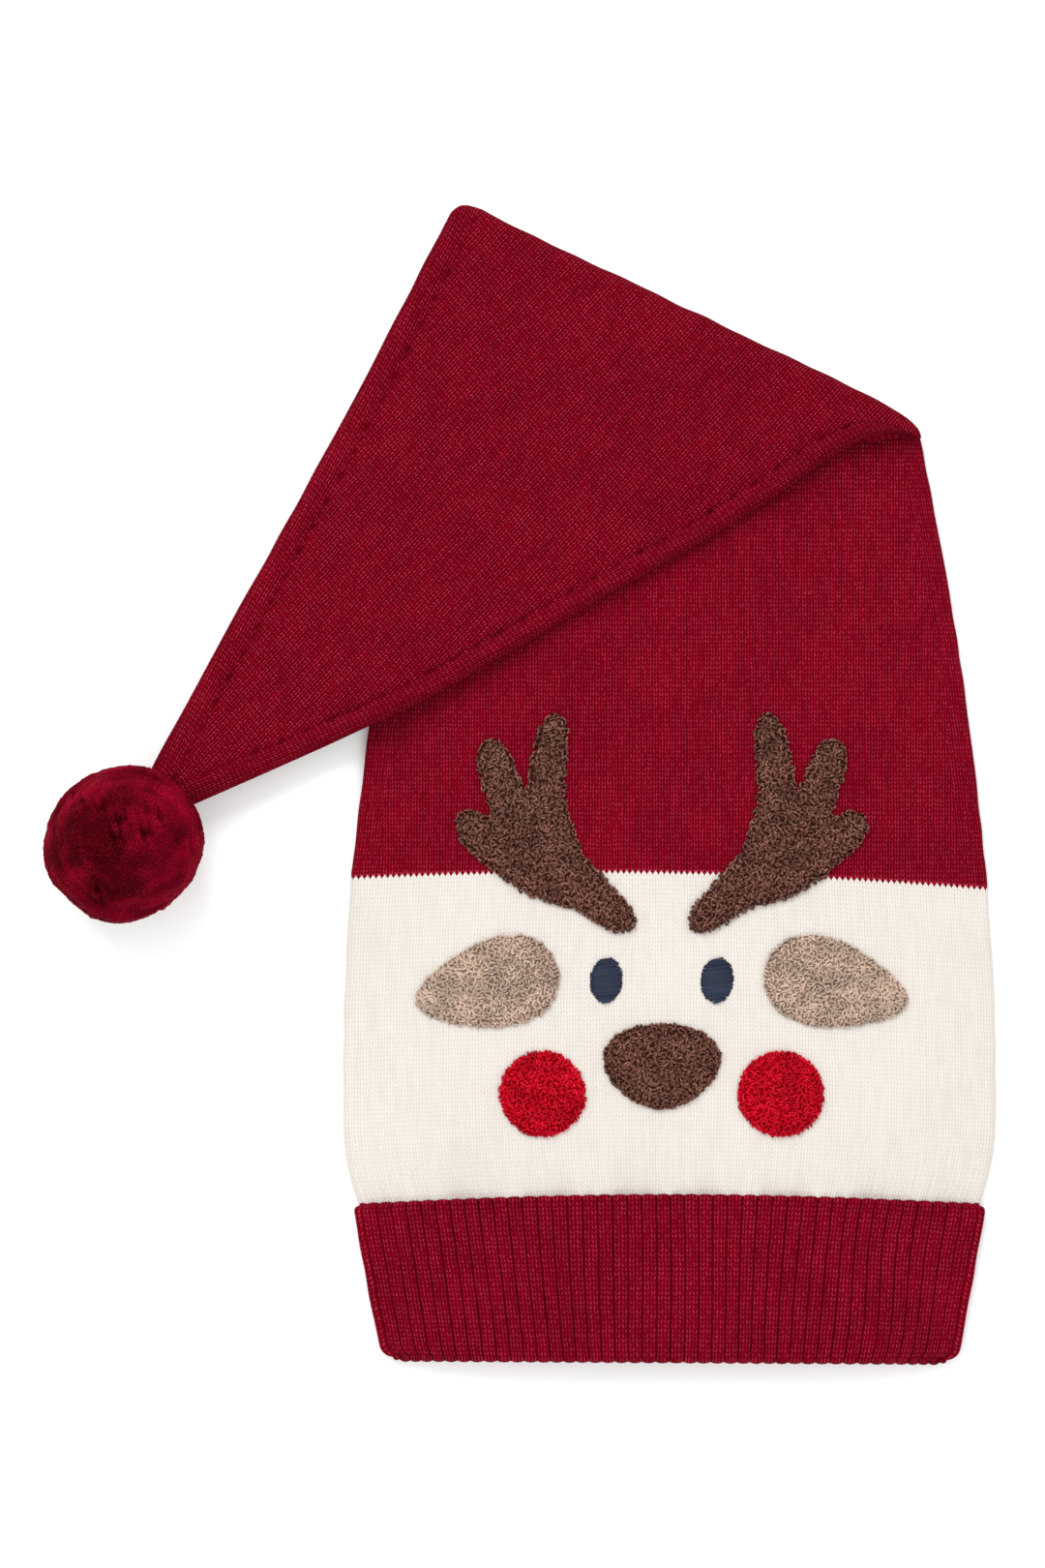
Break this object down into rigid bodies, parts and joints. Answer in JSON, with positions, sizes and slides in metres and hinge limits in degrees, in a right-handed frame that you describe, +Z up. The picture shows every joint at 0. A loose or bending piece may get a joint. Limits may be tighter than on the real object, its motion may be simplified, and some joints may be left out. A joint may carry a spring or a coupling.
{
  "type": "santa hat",
  "caption": "Knitted stocking hat lying flat, its long tail folded over to one side, with a deep rib cuff, a cream band with a deer face in pile yarn, and a pompom.",
  "frame": {"origin": "middle of the face band's back, on the surface that the hat lies on", "axes": "+Z up out of the surface, towards the face; +Y from the cuff to the crown; +X to the right as seen from above, away from the tail"},
  "size_m": [0.3429, 0.4183, 0.0557],
  "materials": {
    "crown": "fine cotton stockinette knit, matt, deep red",
    "face_band": "fine cotton stockinette knit, matt, cream",
    "rib_cuff": "cotton rib knit, matt, deep red",
    "pompom": "dense cut-pile yarn, velvety, dark wine red",
    "nose": "looped pile yarn, matt, dark brown",
    "antler_left": "looped pile yarn, matt, dark brown",
    "antler_right": "looped pile yarn, matt, dark brown",
    "ear_left": "looped pile yarn, matt, taupe",
    "ear_right": "looped pile yarn, matt, taupe",
    "eye_left": "satin-stitched thread, soft sheen, navy",
    "eye_right": "satin-stitched thread, soft sheen, navy",
    "cheek_left": "looped pile yarn, matt, bright red",
    "cheek_right": "looped pile yarn, matt, bright red"
  },
  "bodies": {
    "root": {"crown": "crown", "face_band": "face_band", "rib_cuff": "rib_cuff", "pompom": "pompom", "nose": "nose", "antler_left": "antler_left", "antler_right": "antler_right", "ear_left": "ear_left", "ear_right": "ear_right", "eye_left": "eye_left", "eye_right": "eye_right", "cheek_left": "cheek_left", "cheek_right": "cheek_right"}
  },
  "joints": []
}
